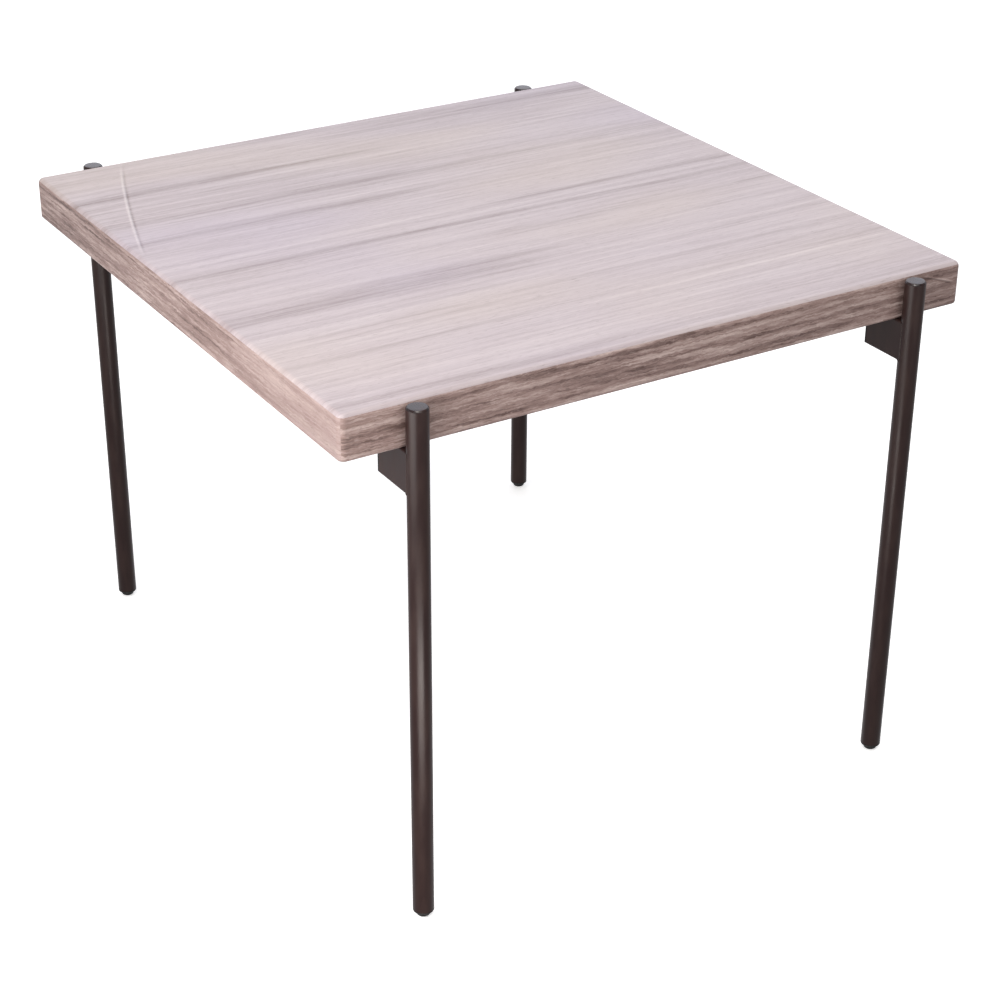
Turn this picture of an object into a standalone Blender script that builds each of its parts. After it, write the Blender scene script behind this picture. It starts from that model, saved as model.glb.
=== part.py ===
"""Low square table: a foil-wrapped board top between four slim tube legs.

Metres, +Z up. The table stands on z = 0 and its origin is the middle of its footprint. Each leg
stands just outside the front or back edge of the top and is welded to a short box bracket that
two machine screws hold to threaded inserts in the board. Every leg ends in a levelling glide.

Run with: blender --background --python part.py
"""
import math

import bmesh
import bpy

# Overall size
TOP_WIDTH = 0.600
TOP_DEPTH = 0.600
TOP_THICKNESS = 0.0388
TABLE_HEIGHT = 0.470

# Clearance kept between pieces that touch on the real table, and what counts as the same place
GAP = 0.0003
SAME_PLACE = 0.0001
MERGE_DISTANCE = 0.00001

# Board, foil and backing sheet
SKIN = 0.0005
CORNER_RADIUS = 0.005
TOP_EDGE_RADIUS = 0.004
BOTTOM_EDGE_RADIUS = 0.0025
UNDERSIDE_Z = TABLE_HEIGHT - TOP_THICKNESS
CORE_INSET = SKIN + GAP
SHEET_INSET = BOTTOM_EDGE_RADIUS + GAP

# Legs
LEG_DIAMETER = 0.018
LEG_WALL = 0.0015
LEG_X = 0.240
LEG_TO_EDGE = 0.001
LEG_RADIUS = LEG_DIAMETER / 2
LEG_BORE_RADIUS = LEG_RADIUS - LEG_WALL
LEG_Y = TOP_DEPTH / 2 + LEG_TO_EDGE + LEG_RADIUS
LEG_TOP_DROP = 0.002
LEG_TOP_Z = TABLE_HEIGHT - LEG_TOP_DROP
FLANGE = 0.0015
LEG_CHAMFER = 0.0006
CAP_SPIGOT = 0.007

# Foot insert and levelling glide
FOOT_Z = 0.005
FOOT_INSERT_DEPTH = 0.020
STUD_RADIUS = 0.003
STUD_LENGTH = 0.028
STUD_CHAMFER = 0.0005
PAD_RADIUS = 0.0064
PAD_NECK_RADIUS = 0.0048
PAD_EDGE = 0.0009
PAD_RIM_Z = 0.0022
PAD_FLOOR = 0.0016

# Bracket: a short box section on its side of the leg, local +Y pointing under the top
BRACKET_WIDTH = LEG_DIAMETER
BRACKET_HEIGHT = 0.035
BRACKET_WALL = 0.0015
BRACKET_EDGE = 0.0010
BRACKET_REACH = 0.037
BRACKET_TOP_Z = UNDERSIDE_Z - GAP
BRACKET_END_Y = LEG_RADIUS + LEG_TO_EDGE + BRACKET_REACH
PLUG_DEPTH = 0.005

# Fasteners that hold a bracket, by their distance in from the edge of the top
SCREW_REACHES = (0.009, 0.023)
SCREW_RADIUS = 0.003
SCREW_LENGTH = 0.016
SCREW_CHAMFER = 0.0007
HEAD_RADIUS = 0.00525
HEAD_HEIGHT = 0.0034
HEAD_ROUND = 0.0010
SOCKET_ACROSS_FLATS = 0.004
SOCKET_DEPTH = 0.0020
HEX_SIDES = 6
DRIVER_HOLE_RADIUS = 0.006
BOARD_INSERT_RADIUS = 0.005
BOARD_INSERT_LENGTH = 0.013
BOARD_INSERT_CHAMFER = 0.0006

LEG_SEGMENTS = 32
GLIDE_SEGMENTS = 24
FASTENER_SEGMENTS = 16
BEVEL_SEGMENTS = 3
BRACKET_EDGE_SEGMENTS = 2
SMOOTH_ANGLE = math.radians(35)
CUT_MARGIN = 0.002

STATIONS = {
    "front_left": (-1, -1),
    "front_right": (1, -1),
    "back_left": (-1, 1),
    "back_right": (1, 1),
}

# name: (base colour, roughness, metallic)
FINISHES = {
    "oak_decor_foil": ((0.585, 0.515, 0.510), 0.38, 0.0),
    "pressed_fibreboard": ((0.360, 0.250, 0.150), 0.90, 0.0),
    "backing_sheet": ((0.520, 0.500, 0.480), 0.70, 0.0),
    "bronze_black_powder_coat": ((0.030, 0.024, 0.024), 0.42, 0.3),
    "moulded_black_nylon": ((0.022, 0.022, 0.023), 0.55, 0.0),
    "zinc_plated_steel": ((0.560, 0.570, 0.580), 0.32, 1.0),
}


def clear_scene():
    """Remove the objects that the scene starts with."""
    for thing in list(bpy.data.objects):
        bpy.data.objects.remove(thing, do_unlink=True)


def new_collection(name):
    """Make a collection in the scene."""
    collection = bpy.data.collections.new(name)
    bpy.context.scene.collection.children.link(collection)
    return collection


def make_materials():
    """One Principled material for each finish."""
    materials = {}
    for name, (colour, roughness, metallic) in FINISHES.items():
        material = bpy.data.materials.new(name)
        material.use_nodes = True
        shader = material.node_tree.nodes["Principled BSDF"]
        shader.inputs["Base Color"].default_value = (*colour, 1.0)
        shader.inputs["Roughness"].default_value = roughness
        shader.inputs["Metallic"].default_value = metallic
        materials[name] = material
    return materials


def finish_mesh(shape, name):
    """Turn a bmesh into a smooth-shaded mesh whose steep edges stay sharp."""
    mesh = bpy.data.meshes.new(name)
    bmesh.ops.recalc_face_normals(shape, faces=shape.faces)
    shape.to_mesh(mesh)
    shape.free()
    mesh.shade_smooth()
    mesh.set_sharp_from_angle(angle=SMOOTH_ANGLE)
    return mesh


def add_part(name, mesh, finish, parent=None):
    """Make a named sub-part of the table, which stands at its parent's place."""
    part = bpy.data.objects.new(name, mesh)
    mesh.materials.append(MATERIALS[finish])
    part.parent = parent
    PARTS.objects.link(part)
    return part


def cut(part, name, shape):
    """Take a closed shape, given in the part's own space, away from the part."""
    mesh = bpy.data.meshes.new(name)
    shape.to_mesh(mesh)
    shape.free()
    cutter = bpy.data.objects.new(name, mesh)
    cutter.parent = part.parent
    cutter.location = part.location
    cutter.hide_render = True
    cutter.display_type = "WIRE"
    CUTTERS.objects.link(cutter)
    boolean = part.modifiers.new(name, "BOOLEAN")
    boolean.operation = "DIFFERENCE"
    boolean.solver = "EXACT"
    boolean.object = cutter


def add_box(shape, low, high):
    """Add a box between two corners to a bmesh and return its vertices."""
    made = bmesh.ops.create_cube(shape, size=1.0)["verts"]
    size = [top - bottom for bottom, top in zip(low, high)]
    middle = [(top + bottom) / 2 for bottom, top in zip(low, high)]
    bmesh.ops.scale(shape, vec=size, verts=made)
    bmesh.ops.translate(shape, vec=middle, verts=made)
    return made


def add_drill(shape, radius, x, y, low, high, segments=FASTENER_SEGMENTS):
    """Add an upright cylinder to a bmesh, as a drill's path or a pin."""
    made = bmesh.ops.create_cone(
        shape, cap_ends=True, segments=segments, radius1=radius, radius2=radius, depth=high - low
    )["verts"]
    bmesh.ops.translate(shape, vec=(x, y, (low + high) / 2), verts=made)


def bevel_edges(shape, edges, radius, segments=BEVEL_SEGMENTS):
    """Round edges of a bmesh to a radius."""
    bmesh.ops.bevel(
        shape, geom=edges, offset=radius, affect="EDGES", segments=segments, profile=0.5, material=-1
    )


def lies_at(item, height):
    """Whether every corner of an edge or a face is at a height."""
    return all(abs(corner.co.z - height) < SAME_PLACE for corner in item.verts)


def edges_along(shape, axis):
    """The edges of a box that run along an axis, given as 1 for Y or 2 for Z."""
    found = []
    for edge in shape.edges:
        start, end = edge.verts
        if abs(start.co[axis] - end.co[axis]) > SAME_PLACE:
            found.append(edge)
    return found


def rounded_slab(inset, low, high):
    """The outline of the top, drawn in by an inset on every side and rounded on every edge."""
    slab = bmesh.new()
    half_width = TOP_WIDTH / 2 - inset
    half_depth = TOP_DEPTH / 2 - inset
    add_box(slab, (-half_width, -half_depth, low), (half_width, half_depth, high))
    bevel_edges(slab, edges_along(slab, 2), CORNER_RADIUS - inset)
    bevel_edges(slab, [edge for edge in slab.edges if lies_at(edge, high)], TOP_EDGE_RADIUS - inset)
    bevel_edges(slab, [edge for edge in slab.edges if lies_at(edge, low)], BOTTOM_EDGE_RADIUS - inset)
    return slab


def turned_part(name, profile, finish, parent, segments, closed=False):
    """Turn a profile about Z. It runs down the outer side, and closes on itself for a ring."""
    shape = bmesh.new()
    corners = [shape.verts.new((radius, 0.0, height)) for radius, height in profile]
    for start, end in zip(corners, corners[1:]):
        shape.edges.new((start, end))
    if closed:
        shape.edges.new((corners[-1], corners[0]))
    mesh = bpy.data.meshes.new(name)
    shape.to_mesh(mesh)
    shape.free()
    part = add_part(name, mesh, finish, parent)
    screw = part.modifiers.new("turn", "SCREW")
    screw.axis = "Z"
    screw.angle = math.tau
    screw.steps = segments
    screw.render_steps = segments
    screw.use_merge_vertices = True
    screw.merge_threshold = MERGE_DISTANCE
    screw.use_smooth_shade = True
    return part


def screw_places():
    """Where the fasteners stand in the table's own frame."""
    for side_x, side_y in STATIONS.values():
        for reach in SCREW_REACHES:
            yield side_x * LEG_X, side_y * (TOP_DEPTH / 2 - reach)


def insert_drills(high):
    """The holes for every threaded insert, from below the top up to a height."""
    drills = bmesh.new()
    for x, y in screw_places():
        add_drill(drills, BOARD_INSERT_RADIUS + GAP, x, y, UNDERSIDE_Z - CUT_MARGIN, high)
    return drills


def make_top():
    """Board, wrapped foil and backing sheet."""
    core_low = UNDERSIDE_Z + CORE_INSET
    core = rounded_slab(CORE_INSET, core_low, TABLE_HEIGHT - CORE_INSET)
    core_part = add_part("top_core", finish_mesh(core, "top_core"), "pressed_fibreboard")
    cut(core_part, "core_drills", insert_drills(UNDERSIDE_Z + BOARD_INSERT_LENGTH + CUT_MARGIN))

    foil = rounded_slab(0.0, UNDERSIDE_Z, TABLE_HEIGHT)
    open_side = [face for face in foil.faces if lies_at(face, UNDERSIDE_Z)]
    bmesh.ops.delete(foil, geom=open_side, context="FACES")
    foil_part = add_part("top_foil", finish_mesh(foil, "top_foil"), "oak_decor_foil")
    wall = foil_part.modifiers.new("wall", "SOLIDIFY")
    wall.thickness = SKIN
    wall.offset = -1.0
    wall.use_even_offset = True

    sheet = bmesh.new()
    half_width = TOP_WIDTH / 2 - SHEET_INSET
    half_depth = TOP_DEPTH / 2 - SHEET_INSET
    add_box(sheet, (-half_width, -half_depth, UNDERSIDE_Z), (half_width, half_depth, UNDERSIDE_Z + SKIN))
    bevel_edges(sheet, edges_along(sheet, 2), CORNER_RADIUS - SHEET_INSET)
    sheet_part = add_part("underside_sheet", finish_mesh(sheet, "underside_sheet"), "backing_sheet")
    cut(sheet_part, "sheet_drills", insert_drills(UNDERSIDE_Z + SKIN + CUT_MARGIN))


def make_leg(place, station):
    """Tube, top cap and foot insert."""
    tube_low = FOOT_Z + FLANGE + GAP
    tube_high = LEG_TOP_Z - FLANGE - GAP
    tube = [
        (LEG_RADIUS, tube_high),
        (LEG_RADIUS, tube_low),
        (LEG_BORE_RADIUS, tube_low),
        (LEG_BORE_RADIUS, tube_high),
    ]
    turned_part("leg_tube_" + place, tube, "bronze_black_powder_coat", station, LEG_SEGMENTS, closed=True)

    spigot_radius = LEG_BORE_RADIUS - GAP
    cap_low = LEG_TOP_Z - FLANGE
    cap = [
        (0.0, LEG_TOP_Z),
        (LEG_RADIUS - LEG_CHAMFER, LEG_TOP_Z),
        (LEG_RADIUS, LEG_TOP_Z - LEG_CHAMFER),
        (LEG_RADIUS, cap_low),
        (spigot_radius, cap_low),
        (spigot_radius, cap_low - CAP_SPIGOT),
        (0.0, cap_low - CAP_SPIGOT),
    ]
    turned_part("leg_cap_" + place, cap, "bronze_black_powder_coat", station, LEG_SEGMENTS)

    bore = STUD_RADIUS + GAP
    insert = [
        (spigot_radius, FOOT_Z + FOOT_INSERT_DEPTH),
        (spigot_radius, FOOT_Z + FLANGE),
        (LEG_RADIUS, FOOT_Z + FLANGE),
        (LEG_RADIUS, FOOT_Z + LEG_CHAMFER),
        (LEG_RADIUS - LEG_CHAMFER, FOOT_Z),
        (bore, FOOT_Z),
        (bore, FOOT_Z + FOOT_INSERT_DEPTH),
    ]
    turned_part("foot_insert_" + place, insert, "moulded_black_nylon", station, LEG_SEGMENTS, closed=True)


def make_glide(place, station):
    """Threaded stud and the pad moulded on its lower end, which screw down together."""
    slider = bpy.data.objects.new("glide_axis_" + place, None)
    slider.parent = station
    PARTS.objects.link(slider)

    stud_low = PAD_FLOOR + GAP
    stud_high = stud_low + STUD_LENGTH
    stud = [
        (0.0, stud_high),
        (STUD_RADIUS - STUD_CHAMFER, stud_high),
        (STUD_RADIUS, stud_high - STUD_CHAMFER),
        (STUD_RADIUS, stud_low),
        (0.0, stud_low),
    ]
    turned_part("glide_stud_" + place, stud, "zinc_plated_steel", slider, GLIDE_SEGMENTS)

    pad_high = FOOT_Z - GAP
    bore = STUD_RADIUS + GAP
    pad = [
        (0.0, PAD_FLOOR),
        (bore, PAD_FLOOR),
        (bore, pad_high),
        (PAD_NECK_RADIUS, pad_high),
        (PAD_RADIUS, PAD_RIM_Z),
        (PAD_RADIUS, PAD_EDGE),
        (PAD_RADIUS - PAD_EDGE, 0.0),
        (0.0, 0.0),
    ]
    turned_part("glide_pad_" + place, pad, "moulded_black_nylon", slider, GLIDE_SEGMENTS)


def make_bracket(place, station):
    """Box section coped to the leg, drilled for its two screws, with a plug in its inner end."""
    half_width = BRACKET_WIDTH / 2
    low = BRACKET_TOP_Z - BRACKET_HEIGHT
    tube_end = BRACKET_END_Y - FLANGE - GAP
    box = bmesh.new()
    add_box(box, (-half_width, 0.0, low), (half_width, tube_end, BRACKET_TOP_Z))
    bevel_edges(box, edges_along(box, 1), BRACKET_EDGE, BRACKET_EDGE_SEGMENTS)
    name = "leg_bracket_" + place
    bracket = add_part(name, finish_mesh(box, name), "bronze_black_powder_coat", station)

    inner_width = half_width - BRACKET_WALL
    inside_low = low + BRACKET_WALL
    inside_high = BRACKET_TOP_Z - BRACKET_WALL
    hollow = bmesh.new()
    far_end = tube_end + CUT_MARGIN
    add_box(hollow, (-inner_width, -CUT_MARGIN, inside_low), (inner_width, far_end, inside_high))
    cut(bracket, "hollow_" + place, hollow)

    above = BRACKET_TOP_Z + CUT_MARGIN
    cope = bmesh.new()
    add_drill(cope, LEG_RADIUS + GAP, 0.0, 0.0, low - CUT_MARGIN, above, LEG_SEGMENTS)
    cut(bracket, "cope_" + place, cope)

    drills = bmesh.new()
    for reach in SCREW_REACHES:
        y = LEG_RADIUS + LEG_TO_EDGE + reach
        add_drill(drills, SCREW_RADIUS + GAP, 0.0, y, inside_high - CUT_MARGIN, above)
        add_drill(drills, DRIVER_HOLE_RADIUS, 0.0, y, low - CUT_MARGIN, inside_low + CUT_MARGIN)
    cut(bracket, "drills_" + place, drills)

    plug = bmesh.new()
    add_box(plug, (-half_width, BRACKET_END_Y - FLANGE, low), (half_width, BRACKET_END_Y, BRACKET_TOP_Z))
    corner_edges = edges_along(plug, 1)
    inner_faces = [min(plug.faces, key=lambda face: face.calc_center_median().y)]
    bmesh.ops.inset_region(plug, faces=inner_faces, thickness=BRACKET_WALL + GAP, use_even_offset=True)
    spigot = bmesh.ops.extrude_face_region(plug, geom=inner_faces)["geom"]
    moved = [item for item in spigot if isinstance(item, bmesh.types.BMVert)]
    bmesh.ops.translate(plug, vec=(0.0, -PLUG_DEPTH, 0.0), verts=moved)
    bmesh.ops.delete(plug, geom=inner_faces, context="FACES")
    bevel_edges(plug, corner_edges, BRACKET_EDGE, BRACKET_EDGE_SEGMENTS)
    name = "bracket_plug_" + place
    add_part(name, finish_mesh(plug, name), "moulded_black_nylon", station)


def make_fasteners(place, station):
    """A threaded insert in the board and a socket-head screw for each hole of the bracket."""
    head_high = BRACKET_TOP_Z - BRACKET_WALL - GAP
    head_low = head_high - HEAD_HEIGHT
    tip = head_high + SCREW_LENGTH
    bore = SCREW_RADIUS + GAP
    nut_high = UNDERSIDE_Z + BOARD_INSERT_LENGTH
    for side, reach in zip(("outer", "inner"), SCREW_REACHES):
        y = LEG_RADIUS + LEG_TO_EDGE + reach
        nut = [
            (BOARD_INSERT_RADIUS - BOARD_INSERT_CHAMFER, nut_high),
            (BOARD_INSERT_RADIUS, nut_high - BOARD_INSERT_CHAMFER),
            (BOARD_INSERT_RADIUS, UNDERSIDE_Z),
            (bore, UNDERSIDE_Z),
            (bore, nut_high),
        ]
        label = place + "_" + side
        insert = turned_part(
            "board_insert_" + label, nut, "zinc_plated_steel", station, FASTENER_SEGMENTS, closed=True
        )
        insert.location = (0.0, y, 0.0)

        bolt = [
            (0.0, tip),
            (SCREW_RADIUS - SCREW_CHAMFER, tip),
            (SCREW_RADIUS, tip - SCREW_CHAMFER),
            (SCREW_RADIUS, head_high),
            (HEAD_RADIUS, head_high),
            (HEAD_RADIUS, head_low + HEAD_ROUND),
            (HEAD_RADIUS - HEAD_ROUND, head_low),
            (0.0, head_low),
        ]
        screw = turned_part(
            "bracket_screw_" + label, bolt, "zinc_plated_steel", station, FASTENER_SEGMENTS
        )
        screw.location = (0.0, y, 0.0)
        socket = bmesh.new()
        corner_radius = SOCKET_ACROSS_FLATS / math.sqrt(3)
        add_drill(socket, corner_radius, 0.0, 0.0, head_low - CUT_MARGIN, head_low + SOCKET_DEPTH, HEX_SIDES)
        cut(screw, "socket_" + label, socket)


def make_station(place, side_x, side_y):
    """One leg with all that hangs on it. The empty stands on the leg's axis, +Y under the top."""
    station = bpy.data.objects.new("leg_station_" + place, None)
    station.location = (side_x * LEG_X, side_y * LEG_Y, 0.0)
    station.rotation_euler = (0.0, 0.0, 0.0 if side_y < 0 else math.pi)
    PARTS.objects.link(station)
    make_leg(place, station)
    make_glide(place, station)
    make_bracket(place, station)
    make_fasteners(place, station)


clear_scene()
PARTS = new_collection("low_square_table")
CUTTERS = new_collection("cutters")
MATERIALS = make_materials()
make_top()
for place, (side_x, side_y) in STATIONS.items():
    make_station(place, side_x, side_y)
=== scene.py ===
"""Looks of the low square table: a limewashed-oak foil top between four slim powder-coated legs.

Metres, +Z up, the floor at z = 0 and the front edge of the top at -Y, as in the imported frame. Sizes
and places come from the frame. The top's foil, the legs and the feet are made again here as finer
pieces on the same bodies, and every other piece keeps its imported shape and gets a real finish.
"""

import logging
import math
from collections.abc import Callable, Iterable
from dataclasses import dataclass
from enum import Enum
from functools import cached_property
from typing import Any

import bmesh
import bpy
from mathutils import Matrix, Vector


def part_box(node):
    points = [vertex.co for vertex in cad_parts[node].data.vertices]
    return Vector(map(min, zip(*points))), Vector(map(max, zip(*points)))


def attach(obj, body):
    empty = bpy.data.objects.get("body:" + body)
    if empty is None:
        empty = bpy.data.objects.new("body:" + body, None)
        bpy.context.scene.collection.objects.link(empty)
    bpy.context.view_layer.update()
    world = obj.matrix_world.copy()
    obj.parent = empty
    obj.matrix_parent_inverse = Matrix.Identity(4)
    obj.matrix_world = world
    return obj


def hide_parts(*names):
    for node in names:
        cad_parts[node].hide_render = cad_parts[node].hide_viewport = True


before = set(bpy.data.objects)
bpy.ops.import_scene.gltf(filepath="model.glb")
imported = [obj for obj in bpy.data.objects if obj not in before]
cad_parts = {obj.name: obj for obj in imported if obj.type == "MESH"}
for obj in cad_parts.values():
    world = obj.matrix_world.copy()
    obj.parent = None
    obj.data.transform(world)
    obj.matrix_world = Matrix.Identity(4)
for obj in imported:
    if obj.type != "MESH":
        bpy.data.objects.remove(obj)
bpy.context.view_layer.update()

LOG = logging.getLogger("low_square_table")
MM = 0.001
SAME_PLACE = 0.00002
MERGE_DISTANCE = 0.000001
SMOOTH_ANGLE = math.radians(32)
GRAIN_MAP = "grain"
FOLD_LIGHT_AND_SHADE_MAP = "fold"
TABLE_BODY = "table"
SMOOTH = {"interpolation_type": "SMOOTHSTEP"}

Point = tuple[float, float]
Socket = bpy.types.NodeSocket


class Place(Enum):
    """The corners of the table that a leg can stand at, as the sides of X and Y it is on."""

    FRONT_LEFT = (-1, -1)
    FRONT_RIGHT = (1, -1)
    BACK_LEFT = (-1, 1)
    BACK_RIGHT = (1, 1)

    @property
    def label(self) -> str:
        """The corner's name in node and body names."""
        return self.name.lower()


class Slot(Enum):
    """The record's material slots."""

    FOIL = "oak_decor_foil"
    CORE = "fibreboard"
    SHEET = "backing_sheet"
    PAINT = "leg_paint"
    NYLON = "black_nylon"
    ZINC = "zinc_steel"


# ---------------------------------------------------------------------------------------------
# Colour and nodes
# ---------------------------------------------------------------------------------------------


def linear(colour: str) -> tuple[float, float, float, float]:
    """Turn an sRGB colour such as "#C8BEBE" into linear RGBA.

    Args:
        colour: Six hex digits after a hash.

    Returns:
        Red, green, blue and an alpha of one.
    """
    channels = [int(colour[start:start + 2], 16) / 255 for start in (1, 3, 5)]
    values = [c / 12.92 if c <= 0.04045 else ((c + 0.055) / 1.055) ** 2.4 for c in channels]
    return (*values, 1.0)


def add_node(
    tree: bpy.types.NodeTree, kind: str, inputs: dict[str | int, Any] | None = None, **settings: Any
) -> bpy.types.Node:
    """Add a shader node with its settings, its values and its links.

    Args:
        tree: The node tree that gets the node.
        kind: The node's type, without "ShaderNode" in front.
        inputs: For each input, by name or number, a value or the output that feeds it.
        settings: The node's own properties.

    Returns:
        The new node.
    """
    made = tree.nodes.new("ShaderNode" + kind)
    for name, value in settings.items():
        setattr(made, name, value)
    for key, value in (inputs or {}).items():
        if isinstance(value, Socket):
            tree.links.new(value, made.inputs[key])
        else:
            made.inputs[key].default_value = value
    return made


def cells(
    tree: bpy.types.NodeTree,
    where: Socket,
    size: tuple[float, float, float],
    seed: float,
    detail: float = 2.0,
) -> Socket:
    """Soft irregular noise whose cells have a real size.

    Args:
        tree: The node tree that gets the pattern.
        where: The coordinates, in metres.
        size: How long a cell is along each coordinate, in metres.
        seed: A number that sets this noise apart from the others.
        detail: How many finer octaves it has.

    Returns:
        A value about 0.5, mostly from 0.25 to 0.75.
    """
    scale = [1.0 / length for length in size]
    placed = add_node(tree, "Mapping", {"Vector": where, "Scale": scale, "Location": (seed, seed, seed)})
    noise = add_node(
        tree, "TexNoise", {"Vector": placed.outputs[0], "Scale": 1.0, "Detail": detail, "Roughness": 0.55}
    )
    return noise.outputs["Fac"]


# ---------------------------------------------------------------------------------------------
# Finishes
# ---------------------------------------------------------------------------------------------


@dataclass(frozen=True)
class Finish:
    """A surface finish, named for its material and for how its surface was made."""

    name: str
    slot: Slot
    colour: str
    roughness: float
    ior: float = 1.5

    def material(self) -> bpy.types.Material:
        """Give the finish's material, made the first time that it is asked for."""
        found = bpy.data.materials.get(self.name)
        if found is not None:
            return found
        made = bpy.data.materials.new(self.name)
        made.use_nodes = True
        tree = made.node_tree
        shader = tree.nodes["Principled BSDF"]
        shader.inputs["Base Color"].default_value = linear(self.colour)
        shader.inputs["Roughness"].default_value = self.roughness
        shader.inputs["IOR"].default_value = self.ior
        made.diffuse_color = linear(self.colour)
        self.paint(tree, shader)
        return made

    def paint(self, tree: bpy.types.NodeTree, shader: bpy.types.Node) -> None:
        """Add the finish's pattern, sheen and relief.

        Args:
            tree: The material's node tree.
            shader: Its Principled shader.
        """
        raise NotImplementedError

    def colour_by(
        self,
        tree: bpy.types.NodeTree,
        shader: bpy.types.Node,
        pattern: Socket,
        reach: Point,
        other: str,
        most: float = 1.0,
    ) -> None:
        """Colour the surface, turning to another colour where a pattern is high.

        Args:
            tree: The material's node tree.
            shader: Its Principled shader.
            pattern: The pattern that picks the colour.
            reach: The pattern's values where the other colour begins and where it is strongest.
            other: The other colour.
            most: How much of the other colour shows at its strongest.
        """
        inputs = {0: pattern, 1: reach[0], 2: reach[1], 4: most}
        share = add_node(tree, "MapRange", inputs, **SMOOTH).outputs[0]
        inputs = {0: share, 6: linear(self.colour), 7: linear(other)}
        colour = add_node(tree, "Mix", inputs, data_type="RGBA").outputs[2]
        tree.links.new(colour, shader.inputs["Base Color"])

    def gloss_by(
        self,
        tree: bpy.types.NodeTree,
        shader: bpy.types.Node,
        pattern: Socket,
        reach: Point,
        change: Point,
    ) -> None:
        """Let the roughness follow a pattern.

        Args:
            tree: The material's node tree.
            shader: Its Principled shader.
            pattern: The pattern.
            reach: The pattern's values between which the roughness changes.
            change: What is added to the finish's roughness at each of them.
        """
        first, last = (self.roughness + extra for extra in change)
        inputs = {0: pattern, 1: reach[0], 2: reach[1], 3: first, 4: last}
        rough = add_node(tree, "MapRange", inputs, **SMOOTH).outputs[0]
        tree.links.new(rough, shader.inputs["Roughness"])

    def relief(
        self, tree: bpy.types.NodeTree, shader: bpy.types.Node, layers: Iterable[tuple[Socket, float]]
    ) -> None:
        """Feed height patterns to the shader, each on top of the last.

        Args:
            tree: The material's node tree.
            shader: Its Principled shader.
            layers: Pairs of a height pattern and how high it stands, in metres.
        """
        normal = None
        for height, depth in layers:
            inputs = {"Height": height, "Distance": depth, "Strength": 1.0}
            if normal is not None:
                inputs["Normal"] = normal
            normal = add_node(tree, "Bump", inputs).outputs["Normal"]
        tree.links.new(normal, shader.inputs["Normal"])


@dataclass(frozen=True)
class Stripe:
    """A streak that runs the length of the grain, dark below zero and light above: mostly print, and at the
    top of the edge strips a painted highlight.
    """

    place: float
    half_width: float
    depth: float


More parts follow.
